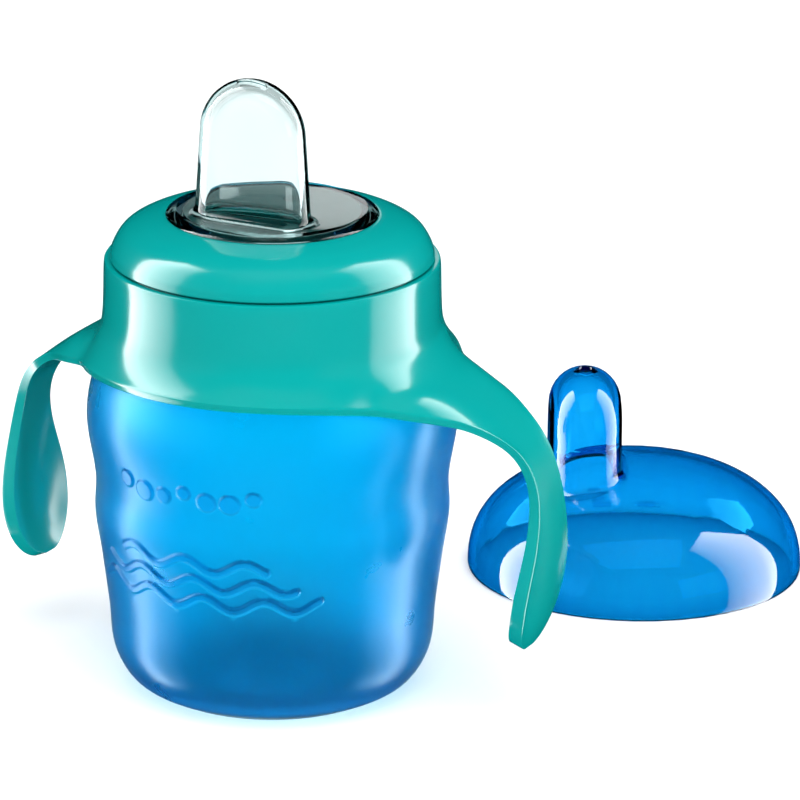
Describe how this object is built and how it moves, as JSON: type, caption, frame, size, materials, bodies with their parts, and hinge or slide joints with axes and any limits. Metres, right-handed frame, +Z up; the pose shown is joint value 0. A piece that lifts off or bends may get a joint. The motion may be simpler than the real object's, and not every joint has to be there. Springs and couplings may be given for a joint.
{
  "type": "sippy cup",
  "caption": "Toddler's drinking cup with a wavy bottle body, a two-handled collar, a screw ring with a soft spout and valve, and a domed hygiene cap standing beside it.",
  "frame": {"origin": "centre of the underside of the cup's foot, on the surface it stands on", "axes": "+Z up along the cup's axis, X through the two handles, -Y towards the drinker, where the spout is offset"},
  "size_m": [0.1324, 0.1672, 0.126],
  "materials": {
    "cup_pp": "moulded gloss, translucent blue",
    "teal_pp": "moulded gloss, opaque teal",
    "clear_silicone": "polished clear silicone",
    "valve_silicone": "satin translucent silicone",
    "cap_pp": "moulded gloss, clear blue"
  },
  "bodies": {
    "cup": {"cup_body": "cup_pp"},
    "handles": {"handle_collar": "teal_pp"},
    "ring": {"screw_ring": "teal_pp", "soft_spout": "clear_silicone", "non_spill_valve": "valve_silicone"},
    "cap": {"hygiene_cap": "cap_pp"}
  },
  "joints": [
    {"name": "lid_lift", "type": "slide", "parent": "cup", "child": "handles", "axis": [0, 0, 1], "range_m": [0, 0.032]},
    {"name": "ring_turn", "type": "hinge", "parent": "handles", "child": "ring", "pos_m": [0, 0, 0.08], "axis": [0, 0, 1], "range_deg": [0, 1440]},
    {"name": "cap_lift", "type": "slide", "parent": "cup", "child": "cap", "axis": [0, 0, 1], "range_m": [0, 0.15]}
  ],
  "couplings": [
    {"joint": "ring_turn", "follows": "lid_lift", "rad_per_m": 785.4}
  ]
}
